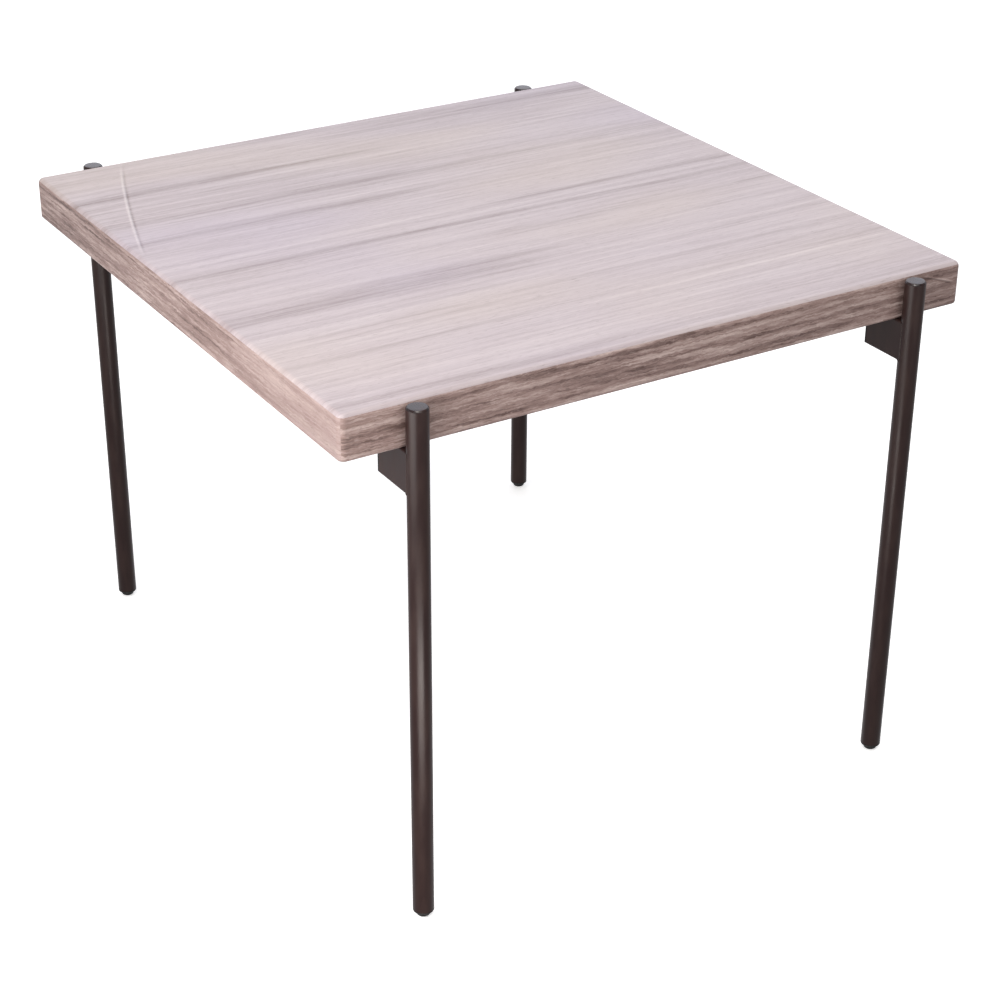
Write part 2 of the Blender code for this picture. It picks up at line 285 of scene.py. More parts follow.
@dataclass(frozen=True)
class DecorFoil(Finish):
    """Printed and embossed furniture foil with a limewashed oak decor.

    The print shows quarter-sawn oak whose grain holds a pale wash, so the eye reads long straight
    grey-brown streaks a few millimetres wide, short dark pores and short pale flecks. A satin lacquer
    over the print gives a broad cool sheen at a low angle.
    """

    dark: str = "#7C6A68"
    light: str = "#D8CECD"
    cool: str = "#ADA2BB"
    warm: str = "#C8B8A8"
    pore: str = "#6B5752"
    fleck: str = "#DDD2CE"
    span: tuple[float, float] = (-0.300, 0.300)
    # The ground tone at the front and at the back of the span. The face's lighter front is partly print and
    # partly a painted highlight, as the front takes more light than the back.
    ground: tuple[float, float] = (0.54, 0.46)
    left_stripes: tuple[Stripe, ...] = ()
    right_stripes: tuple[Stripe, ...] = ()
    # Where along the grain the left stripes give way to the right ones, and over how long.
    swap_at: float = 0.0
    swap_over: float = 0.160
    # Oak rings are 2 to 3 mm apart and print in groups, which make streaks about 8 mm wide.
    streak_size: Point = (420 * MM, 8 * MM)
    streak_share: float = 0.66
    # Fibres are far finer than 1.5 mm; they are drawn that wide so that they show.
    fibre_size: Point = (60 * MM, 1.5 * MM)
    fibre_share: float = 0.44
    wander: float = 1.0 * MM
    ragged: float = 0.5 * MM
    # Where along the grain the tone is painted paler and flatter, by how much, and the contrast that is left
    # there: a painted highlight where the light falls strongest.
    painted_highlight_at: float = -5.0
    painted_highlight_share: float = 0.0
    painted_highlight_contrast: float = 0.30
    pore_share: float = 0.30
    fleck_share: float = 0.18
    tint_share: float = 0.28
    # How strongly the painted highlight on each fold's ridge and the painted shade in its hollow change the
    # tone.
    fold_light_and_shade_share: float = 0.40

    def stripes(self, tree: bpy.types.NodeTree, across: Socket, wanted: tuple[Stripe, ...]) -> Socket:
        """Lay streaks across the grain, dark or light on the ground tone: print, and a painted highlight at
        the top of the edge strips.

        Args:
            tree: The material's node tree.
            across: The place across the grain, from 0 to 1 over the span.
            wanted: The streaks, in order across the grain.

        Returns:
            The tone, dark at 0 and light at 1.
        """
        first, last = self.ground
        ramp = add_node(tree, "ValToRGB", {"Fac": across})
        ramp.color_ramp.interpolation = "EASE"
        spots = ramp.color_ramp.elements
        spots[0].color, spots[1].color = (first, first, first, 1.0), (last, last, last, 1.0)
        for stripe in wanted:
            for side, depth in ((-1, 0.0), (0, stripe.depth), (1, 0.0)):
                place = min(max(stripe.place + side * stripe.half_width, 0.0), 1.0)
                tone = first + (last - first) * place + depth
                spots.new(place).color = (tone, tone, tone, 1.0)
        return ramp.outputs["Color"]

    def bent(self, tree: bpy.types.NodeTree, grain: Socket) -> Socket:
        """Let the grain wander and fray a little, as the growth of a tree does.

        Args:
            tree: The material's node tree.
            grain: Coordinates along and across the grain.

        Returns:
            The coordinates with a wandering place across the grain.
        """
        sway = cells(tree, grain, (380 * MM, 90 * MM, 1.0), 3.1)
        inputs = {0: sway, 1: 0.25, 2: 0.75, 3: -self.wander, 4: self.wander}
        drift = add_node(tree, "MapRange", inputs, **SMOOTH).outputs[0]
        fray = cells(tree, grain, (6 * MM, 1.8 * MM, 1.0), 8.4)
        inputs = {0: fray, 1: 0.2, 2: 0.8, 3: -self.ragged, 4: self.ragged}
        ragged = add_node(tree, "MapRange", inputs, **SMOOTH).outputs[0]
        total = add_node(tree, "Math", {0: drift, 1: ragged}, operation="ADD").outputs[0]
        shift = add_node(tree, "CombineXYZ", {"Y": total}).outputs[0]
        return add_node(tree, "VectorMath", {0: grain, 1: shift}, operation="ADD").outputs[0]

    def tone(self, tree: bpy.types.NodeTree, grain: Socket, fibres: Socket) -> Socket:
        """Add up printed streaks, fine streaks, fibres, a painted highlight where the light falls strongest,
        and the painted highlight and shade of the folds into one tone.

        Args:
            tree: The material's node tree.
            grain: Bent coordinates along and across the grain.
            fibres: The fine fibre pattern.

        Returns:
            The tone, dark at 0 and light at 1.
        """
        parts = add_node(tree, "SeparateXYZ", {"Vector": grain})
        low, high = self.span
        across = add_node(tree, "MapRange", {"Value": parts.outputs["Y"], "From Min": low, "From Max": high})
        place = across.outputs["Result"]
        along = parts.outputs["X"]
        half = self.swap_over / 2
        inputs = {0: along, 1: self.swap_at - half, 2: self.swap_at + half}
        swap = add_node(tree, "MapRange", inputs, **SMOOTH).outputs[0]
        left = self.stripes(tree, place, self.left_stripes)
        right = self.stripes(tree, place, self.right_stripes)
        bands = add_node(tree, "Mix", {0: swap, 6: left, 7: right}, data_type="RGBA").outputs[2]
        # A stripe is nowhere even: it weakens and strengthens every 240 mm or so.
        broken = cells(tree, grain, (240 * MM, 7 * MM, 1.0), 5.7, 3.0)
        inputs = {0: broken, 1: 0.32, 2: 0.62, 3: 0.45, 4: 1.25}
        strength = add_node(tree, "MapRange", inputs, **SMOOTH).outputs[0]
        # Painted highlight: near one place along the grain the tone turns paler and its contrast flatter, as
        # where the light falls strongest.
        inputs = {0: along, 1: self.painted_highlight_at}
        offset = add_node(tree, "Math", inputs, operation="SUBTRACT").outputs[0]
        distance = add_node(tree, "Math", {0: offset}, operation="ABSOLUTE").outputs[0]
        inputs = {0: distance, 1: 0.02, 2: 0.34, 3: self.painted_highlight_contrast, 4: 1.0}
        kept = add_node(tree, "MapRange", inputs, **SMOOTH).outputs[0]
        inputs = {0: distance, 1: 0.0, 2: 0.36, 3: self.painted_highlight_share, 4: 0.0}
        pale = add_node(tree, "MapRange", inputs, **SMOOTH).outputs[0]
        streaks = cells(tree, grain, (*self.streak_size, 1.0), 1.9, 4.0)
        # The fold map holds a painted highlight on each crease's ridge and painted shade in its hollow.
        fold = add_node(tree, "Attribute", attribute_name=FOLD_LIGHT_AND_SHADE_MAP).outputs["Fac"]
        total: Socket | float = 0.0
        layers = ((bands, strength), (streaks, self.streak_share), (fibres, self.fibre_share))
        for pattern, share in layers:
            centred = add_node(tree, "Math", {0: pattern, 1: 0.5}, operation="SUBTRACT").outputs[0]
            inputs = {0: centred, 1: share, 2: total}
            total = add_node(tree, "Math", inputs, operation="MULTIPLY_ADD").outputs[0]
        ground = add_node(tree, "Math", {0: pale, 1: 0.5}, operation="ADD").outputs[0]
        total = add_node(tree, "Math", {0: total, 1: kept, 2: ground}, operation="MULTIPLY_ADD").outputs[0]
        inputs = {0: fold, 1: self.fold_light_and_shade_share, 2: total}
        return add_node(tree, "Math", inputs, operation="MULTIPLY_ADD").outputs[0]

    def paint(self, tree: bpy.types.NodeTree, shader: bpy.types.Node) -> None:
        """Print the decor, then emboss and lacquer it.

        Args:
            tree: The material's node tree.
            shader: Its Principled shader.
        """
        grain = add_node(tree, "UVMap", uv_map=GRAIN_MAP).outputs["UV"]
        bent = self.bent(tree, grain)
        fibres = cells(tree, bent, (*self.fibre_size, 1.0), 2.3, 4.0)
        tone = self.tone(tree, bent, fibres)
        ramp = add_node(tree, "ValToRGB", {"Fac": tone})
        ramp.color_ramp.elements[0].color = linear(self.dark)
        ramp.color_ramp.elements[1].color = linear(self.light)
        ramp.color_ramp.elements.new(0.5).color = linear(self.colour)
        colour = ramp.outputs["Color"]
        # Slow changes between warmer and cooler tone, a forearm long: partly a wash in the print and partly a
        # painted cool sheen of the lacquer.
        patch = cells(tree, grain, (360 * MM, 150 * MM, 1.0), 7.7, 1.0)
        for tint, start, end in ((self.warm, 0.48, 0.28), (self.cool, 0.50, 0.72)):
            inputs = {0: patch, 1: start, 2: end, 4: self.tint_share}
            amount = add_node(tree, "MapRange", inputs, **SMOOTH).outputs[0]
            inputs = {0: amount, 6: colour, 7: linear(tint)}
            colour = add_node(tree, "Mix", inputs, data_type="RGBA").outputs[2]
        # Oak pores are 0.3 mm wide; they are drawn 0.7 mm wide so that they show.
        pores = cells(tree, bent, (11 * MM, 0.7 * MM, 1.0), 4.2, 1.0)
        flecks = cells(tree, bent, (8 * MM, 0.8 * MM, 1.0), 9.5, 1.0)
        inputs = {0: pores, 1: 0.58, 2: 0.76, 4: self.pore_share}
        pits = add_node(tree, "MapRange", inputs, **SMOOTH).outputs[0]
        inputs = {0: flecks, 1: 0.55, 2: 0.80, 4: self.fleck_share}
        wash = add_node(tree, "MapRange", inputs, **SMOOTH).outputs[0]
        for share, tint in ((pits, self.pore), (wash, self.fleck)):
            inputs = {0: share, 6: colour, 7: linear(tint)}
            colour = add_node(tree, "Mix", inputs, data_type="RGBA").outputs[2]
        tree.links.new(colour, shader.inputs["Base Color"])
        self.gloss_by(tree, shader, fibres, (0.3, 0.7), (0.05, -0.05))
        swell = cells(tree, grain, (90 * MM, 55 * MM, 1.0), 6.6, 1.0)
        self.relief(tree, shader, ((swell, 0.30 * MM), (fibres, 0.05 * MM), (pits, 0.05 * MM)))


@dataclass(frozen=True)
class PowderCoat(Finish):
    """Bronze-black polyester powder coat, sprayed on steel and baked.

    It flows into a faint orange peel about a millimetre across, so highlights on the tubes are soft
    and slightly broken, and it has a warm brown cast where light falls on it.
    """

    mottle: str = "#311F1C"

    def paint(self, tree: bpy.types.NodeTree, shader: bpy.types.Node) -> None:
        """Lay the orange peel and a slight mottle of tone.

        Args:
            tree: The material's node tree.
            shader: Its Principled shader.
        """
        place = add_node(tree, "TexCoord").outputs["Object"]
        # Orange peel, 1.2 mm from crest to crest.
        peel = cells(tree, place, (1.2 * MM,) * 3, 2.0, 1.0)
        cloud = cells(tree, place, (9 * MM, 9 * MM, 40 * MM), 5.0, 3.0)
        self.colour_by(tree, shader, cloud, (0.35, 0.7), self.mottle)
        self.gloss_by(tree, shader, cloud, (0.3, 0.7), (-0.04, 0.05))
        self.relief(tree, shader, ((peel, 0.012 * MM),))


@dataclass(frozen=True)
class MouldedNylon(Finish):
    """Black polyamide moulded in a spark-eroded tool, which leaves a fine matt grain."""

    scuffed: str = "#3E3D3D"

    def paint(self, tree: bpy.types.NodeTree, shader: bpy.types.Node) -> None:
        """Lay the tool's grain and the scuffed grey of handled plastic.

        Args:
            tree: The material's node tree.
            shader: Its Principled shader.
        """
        place = add_node(tree, "TexCoord").outputs["Object"]
        # The eroded grain is 0.1 mm across; it is drawn at 0.5 mm so that it shows.
        grit = cells(tree, place, (0.5 * MM,) * 3, 1.0, 2.0)
        scuff = cells(tree, place, (5 * MM, 5 * MM, 1.2 * MM), 4.0, 3.0)
        self.colour_by(tree, shader, scuff, (0.5, 0.72), self.scuffed, 0.5)
        self.gloss_by(tree, shader, scuff, (0.4, 0.7), (0.0, 0.15))
        self.relief(tree, shader, ((grit, 0.02 * MM),))


@dataclass(frozen=True)
class ZincPlate(Finish):
    """Electroplated zinc with a clear passivation, which gives steel a soft blue-grey shine."""

    passivated: str = "#B9B59C"

    def paint(self, tree: bpy.types.NodeTree, shader: bpy.types.Node) -> None:
        """Tint the plate where the passivation is thicker and dull it in small spangles.

        Args:
            tree: The material's node tree.
            shader: Its Principled shader.
        """
        shader.inputs["Metallic"].default_value = 1.0
        place = add_node(tree, "TexCoord").outputs["Object"]
        film = cells(tree, place, (4 * MM,) * 3, 3.0, 2.0)
        self.colour_by(tree, shader, film, (0.45, 0.7), self.passivated, 0.7)
        # Zinc crystals are under 0.1 mm across; they are drawn at 0.7 mm so that they show.
        spangle = cells(tree, place, (0.7 * MM,) * 3, 7.0, 2.0)
        self.gloss_by(tree, shader, spangle, (0.3, 0.7), (-0.06, 0.10))
        self.relief(tree, shader, ((spangle, 0.006 * MM),))


@dataclass(frozen=True)
class BackingPaper(Finish):
    """Resin-soaked grey balancing paper, pressed flat: a matt warm grey with faint clouds and fibres."""

    fibre: str = "#8E8983"

    def paint(self, tree: bpy.types.NodeTree, shader: bpy.types.Node) -> None:
        """Lay the paper's fibres, its cloudy soak and the weave left by the press.

        Args:
            tree: The material's node tree.
            shader: Its Principled shader.
        """
        place = add_node(tree, "TexCoord").outputs["Object"]
        strands = cells(tree, place, (7 * MM, 0.9 * MM, 1.0), 2.0, 3.0)
        soak = cells(tree, place, (45 * MM, 45 * MM, 1.0), 5.0, 3.0)
        mix = add_node(tree, "Math", {0: strands, 1: soak}, operation="ADD").outputs[0]
        self.colour_by(tree, shader, mix, (0.85, 1.25), self.fibre, 0.6)
        self.gloss_by(tree, shader, soak, (0.3, 0.7), (-0.08, 0.08))
        self.relief(tree, shader, ((strands, 0.02 * MM),))


@dataclass(frozen=True)
class PressedFibre(Finish):
    """Fibreboard: wood fibres felted with resin, pressed and sawn, a raw matt brown with dark specks."""

    speck: str = "#6E4F32"

    def paint(self, tree: bpy.types.NodeTree, shader: bpy.types.Node) -> None:
        """Scatter darker bark specks through felted fibres.

        Args:
            tree: The material's node tree.
            shader: Its Principled shader.
        """
        place = add_node(tree, "TexCoord").outputs["Object"]
        felt = cells(tree, place, (3 * MM, 3 * MM, 0.8 * MM), 2.0, 4.0)
        bark = cells(tree, place, (1.6 * MM,) * 3, 6.0, 1.0)
        self.colour_by(tree, shader, bark, (0.58, 0.72), self.speck)
        self.relief(tree, shader, ((felt, 0.08 * MM),))


# The face shows long straight pale streaks with a cool cast. Its ground is lighter at the front: partly print
# and partly painted light.
TOP_FOIL = DecorFoil(
    name="limewashed_oak_foil_face",
    slot=Slot.FOIL,
    colour="#B9ACAF",
    roughness=0.42,
    left_stripes=(
        Stripe(0.025, 0.018, -0.16),
        Stripe(0.157, 0.006, -0.26),
        Stripe(0.215, 0.030, -0.06),
        Stripe(0.325, 0.045, -0.19),
        Stripe(0.387, 0.005, 0.15),
        Stripe(0.495, 0.012, -0.14),
        Stripe(0.545, 0.020, 0.10),
        Stripe(0.648, 0.012, -0.28),
        Stripe(0.735, 0.020, -0.18),
        Stripe(0.850, 0.013, -0.34),
    ),
    right_stripes=(
        Stripe(0.025, 0.018, -0.14),
        Stripe(0.145, 0.010, 0.12),
        Stripe(0.240, 0.020, 0.08),
        Stripe(0.388, 0.006, 0.14),
        Stripe(0.428, 0.008, -0.16),
        Stripe(0.495, 0.012, -0.10),
        Stripe(0.524, 0.006, 0.13),
        Stripe(0.541, 0.009, -0.28),
        Stripe(0.722, 0.022, -0.16),
        Stripe(0.955, 0.030, -0.14),
    ),
)

# The edges show coarser, browner and shorter grain. The front and back strips of the print lie below
# the swap and the left and right strips above it.
EDGE_FOIL = DecorFoil(
    name="limewashed_oak_foil_edge",
    slot=Slot.FOIL,
    colour="#9D8580",
    dark="#644F4B",
    light="#CBB7B2",
    cool="#93888E",
    warm="#AE9082",
    fleck="#CFBDB8",
    roughness=0.46,
    span=(0.0, 0.0388),
    ground=(0.50, 0.50),
    swap_at=2.5,
    left_stripes=(
        Stripe(0.000, 0.030, -0.18),
        Stripe(0.080, 0.030, 0.10),
        Stripe(0.190, 0.080, -0.36),
        Stripe(0.360, 0.070, 0.12),
        Stripe(0.500, 0.060, -0.18),
        Stripe(0.670, 0.070, 0.10),
        Stripe(0.800, 0.050, -0.30),
        # A painted highlight: a light band at the top of the strip, where the rounded edge catches the light.
        Stripe(1.000, 0.110, 0.50),
    ),
    right_stripes=(
        Stripe(0.000, 0.030, -0.14),
        Stripe(0.200, 0.080, -0.16),
        Stripe(0.400, 0.045, -0.28),
        Stripe(0.600, 0.100, 0.12),
        Stripe(0.830, 0.035, -0.32),
        # A painted highlight: a light band at the top of the strip, where the rounded edge catches the light.
        Stripe(1.000, 0.110, 0.50),
    ),
    streak_size=(110 * MM, 5.0 * MM),
    streak_share=2.08,
    fibre_size=(22 * MM, 1.1 * MM),
    fibre_share=1.46,
    wander=0.6 * MM,
    ragged=0.9 * MM,
    # The left strip is painted paler and flatter towards the front-left corner: a painted highlight where the
    # light falls strongest.
    painted_highlight_at=2.70,
    painted_highlight_share=0.12,
    pore_share=0.40,
    fleck_share=0.30,
    tint_share=0.12,
)

# On the tubes the coat gives one soft highlight down each leg. On the flat cap it lies smoother and gleams
# grey, and its copy is painted darker and bluer than the tube's: painted shade and a painted cool reflection
# on the disc. Over the weld it fills the ripples and shines.
LEG_PAINT = PowderCoat(name="bronze_black_powder_coat", slot=Slot.PAINT, colour="#291716", roughness=0.38)
CAP_PAINT_PAINTED_DARKER = PowderCoat(name="powder_coat_on_cap_painted_darker", slot=Slot.PAINT, colour="#1B1014", roughness=0.27, ior=1.45)
WELD_PAINT = PowderCoat(name="powder_coat_over_weld", slot=Slot.PAINT, colour="#2C1B19", roughness=0.26)
NYLON = MouldedNylon(name="moulded_black_nylon", slot=Slot.NYLON, colour="#222121", roughness=0.36)
ZINC = ZincPlate(name="zinc_plated_steel", slot=Slot.ZINC, colour="#C6C9CC", roughness=0.30)
PAPER = BackingPaper(name="pressed_backing_paper", slot=Slot.SHEET, colour="#ABA69F", roughness=0.62)
FIBREBOARD = PressedFibre(name="pressed_fibreboard", slot=Slot.CORE, colour="#9A7550", roughness=0.9)


# ---------------------------------------------------------------------------------------------
# Mesh work
# ---------------------------------------------------------------------------------------------


def arc(centre: Point, radius: float, start: float, end: float, steps: int = 5) -> list[Point]:
    """Give points on an arc of a profile.

    Args:
        centre: The arc's middle, as distance from the axis and height.
        radius: The arc's radius.
        start: Where it starts, in degrees from the outward direction.
        end: Where it ends, in degrees.
        steps: How many straight pieces it has.

    Returns:
        The points, both ends among them.
    """
    angles = [math.radians(start + (end - start) * step / steps) for step in range(steps + 1)]
    return [(centre[0] + radius * math.cos(a), centre[1] + radius * math.sin(a)) for a in angles]


def turned(profile: Iterable[Point], steps: int = 64, closed: bool = False) -> bmesh.types.BMesh:
    """Spin a profile about Z into a closed round solid.

    Args:
        profile: Points as distance from the axis and height, on the axis at both ends or closed.
        steps: How many sides the round has.
        closed: Whether the last point joins the first, for a ring.

    Returns:
        The solid's bmesh.
    """
    shape = bmesh.new()
    corners = [shape.verts.new((radius, 0.0, height)) for radius, height in profile]
    pairs = list(zip(corners, corners[1:]))
    if closed:
        pairs.append((corners[-1], corners[0]))
    edges = [shape.edges.new(pair) for pair in pairs]
    bmesh.ops.spin(
        shape, geom=corners + edges, cent=(0, 0, 0), axis=(0, 0, 1), angle=math.tau, steps=steps,
        use_merge=True,
    )
    bmesh.ops.remove_doubles(shape, verts=shape.verts, dist=MERGE_DISTANCE)
    bmesh.ops.recalc_face_normals(shape, faces=shape.faces)
    return shape


def joined(first: bmesh.types.BMesh, second: bmesh.types.BMesh) -> bmesh.types.BMesh:
    """Move one bmesh's faces into another and give the first.

    Args:
        first: The bmesh that grows.
        second: The bmesh that is used up.

    Returns:
        The first bmesh.
    """
    carrier = bpy.data.meshes.new("carrier")
    second.to_mesh(carrier)
    second.free()
    first.from_mesh(carrier)
    bpy.data.meshes.remove(carrier)
    return first


def round_edges(
    shape: bmesh.types.BMesh, edges: Iterable[bmesh.types.BMEdge], radius: float, segments: int
) -> None:
    """Round edges of a bmesh to a radius.

    Args:
        shape: The bmesh.
        edges: The edges to round.
        radius: The radius of the round.
        segments: How many strips of faces it gets.
    """
    bmesh.ops.bevel(
        shape, geom=list(edges), offset=radius, affect="EDGES", segments=segments, profile=0.5, material=-1
    )


def threaded_rod(radius: float, pitch: float, low: float, high: float, steps: int = 24) -> bmesh.types.BMesh:
    """Cut a real helical thread between two flat ends.

    Args:
        radius: The thread's outer radius.
        pitch: How far it climbs in a turn.
        low: The height of the lower end.
        high: The height of the upper end.
        steps: How many sides a turn has.

    Returns:
        The rod's bmesh.
    """
    root = radius - 0.54 * pitch
    flat = pitch / 8
    start = low - pitch
    turns = math.ceil((high - low) / pitch) + 2
    crest = start + pitch / 2
    profile = (root, start), (radius, crest - flat), (radius, crest), (root, start + pitch)
    shape = bmesh.new()
    corners = [shape.verts.new((across, 0.0, height)) for across, height in profile]
    edges = [shape.edges.new(pair) for pair in zip(corners, corners[1:])]
    bmesh.ops.spin(
        shape, geom=corners + edges, cent=(0, 0, 0), axis=(0, 0, 1), dvec=(0, 0, pitch / steps),
        angle=math.tau * turns, steps=steps * turns,
    )
    bmesh.ops.remove_doubles(shape, verts=shape.verts, dist=MERGE_DISTANCE)
    for height, side in ((low, -1), (high, 1)):
        everything = shape.verts[:] + shape.edges[:] + shape.faces[:]
        cut = bmesh.ops.bisect_plane(
            shape, geom=everything, dist=MERGE_DISTANCE, plane_co=(0, 0, height), plane_no=(0, 0, side),
            clear_outer=True,
        )
        rim = [item for item in cut["geom_cut"] if isinstance(item, bmesh.types.BMEdge)]
        bmesh.ops.edgeloop_fill(shape, edges=rim)
    bmesh.ops.recalc_face_normals(shape, faces=shape.faces)
    return shape


def publish(
    shape: bmesh.types.BMesh, name: str, finishes: Iterable[Finish], body: str, replaced: Iterable[str]
) -> bpy.types.Object:
    """Turn a finished bmesh into a smooth-shaded piece that rides on its body.

    Args:
        shape: The piece's bmesh, in the table's own frame.
        name: The piece's name.
        finishes: One finish for each material number on its faces.
        body: The body that it rides on.
        replaced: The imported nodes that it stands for.

    Returns:
        The piece's object.
    """
    mesh = bpy.data.meshes.new(name)
    shape.to_mesh(mesh)
    shape.free()
    mesh.shade_smooth()
    mesh.set_sharp_from_angle(angle=SMOOTH_ANGLE)
    finishes = list(finishes)
    for finish in finishes:
        mesh.materials.append(finish.material())
    piece = bpy.data.objects.new(name, mesh)
    bpy.context.scene.collection.objects.link(piece)
    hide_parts(*replaced)
    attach(piece, body)
    LOG.info("%s: %d faces on %s", name, len(mesh.polygons), body)
    return piece


def dress_node(name: str, finish: Finish) -> None:
    """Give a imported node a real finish.

    Args:
        name: The node's name.
        finish: The finish that it gets.
    """
    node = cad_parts[name]
    node.data.materials.clear()
    node.data.materials.append(finish.material())
    LOG.info("%s: packed shape in %s", name, finish.name)


# ---------------------------------------------------------------------------------------------
# The top
# ---------------------------------------------------------------------------------------------


@dataclass(frozen=True)
class Crease:
    """A fold pressed into the foil when it was wrapped: a low ridge with a hollow beside it."""

    start: Vector
    bend: Vector
    end: Vector
    height: float
    width: float
    pieces: int = 16

    @cached_property
    def path(self) -> list[Vector]:
        """The fold's middle line, as points a short way apart."""
        shares = [step / self.pieces for step in range(self.pieces + 1)]
        return [
            self.start * (1 - t) ** 2 + self.bend * 2 * (1 - t) * t + self.end * t * t for t in shares
        ]

    def nearest(self, point: Vector) -> tuple[float, float]:
        """Find how far a point lies from the fold, and where along it.

        Args:
            point: The point.

        Returns:
            The distance, negative on the fold's left side, and the share of its length.
        """
        best = (math.inf, 0.0, 1.0)
        for step, (first, second) in enumerate(zip(self.path, self.path[1:])):
            along = second - first
            share = min(max((point - first).dot(along) / along.length_squared, 0.0), 1.0)
            offset = point - first - along * share
            if offset.length < best[0]:
                turn = along.cross(offset)
                side = math.copysign(1.0, turn.x + turn.y + turn.z)
                best = (offset.length, (step + share) / self.pieces, side)
        return best[0] * best[2], best[1]

    def reaches(self, point: Vector, reach: float) -> bool:
        """Tell whether a point lies within reach of the fold.

        Args:
            point: The point.
            reach: The distance.

        Returns:
            Whether the fold's middle line is nearer than the distance.
        """
        ends = (self.start, self.bend, self.end)
        for value, *along in zip(point, *ends):
            if not min(along) - reach < value < max(along) + reach:
                return False
        return abs(self.nearest(point)[0]) < reach

    def profile(self, point: Vector) -> tuple[float, float]:
        """Give how much of the ridge and of the hollow there is at a point.

        Args:
            point: The point.

        Returns:
            The shares of the ridge and of the hollow, from 0 to 1.
        """
        distance, share = self.nearest(point)
        ends = min(share, 1.0 - share) * 6
        fade = min(ends, 1.0) ** 2 * (3 - 2 * min(ends, 1.0))
        ridge = math.exp(-((distance / self.width) ** 2))
        hollow = math.exp(-(((distance - 1.8 * self.width) / self.width) ** 2))
        return fade * ridge, fade * hollow


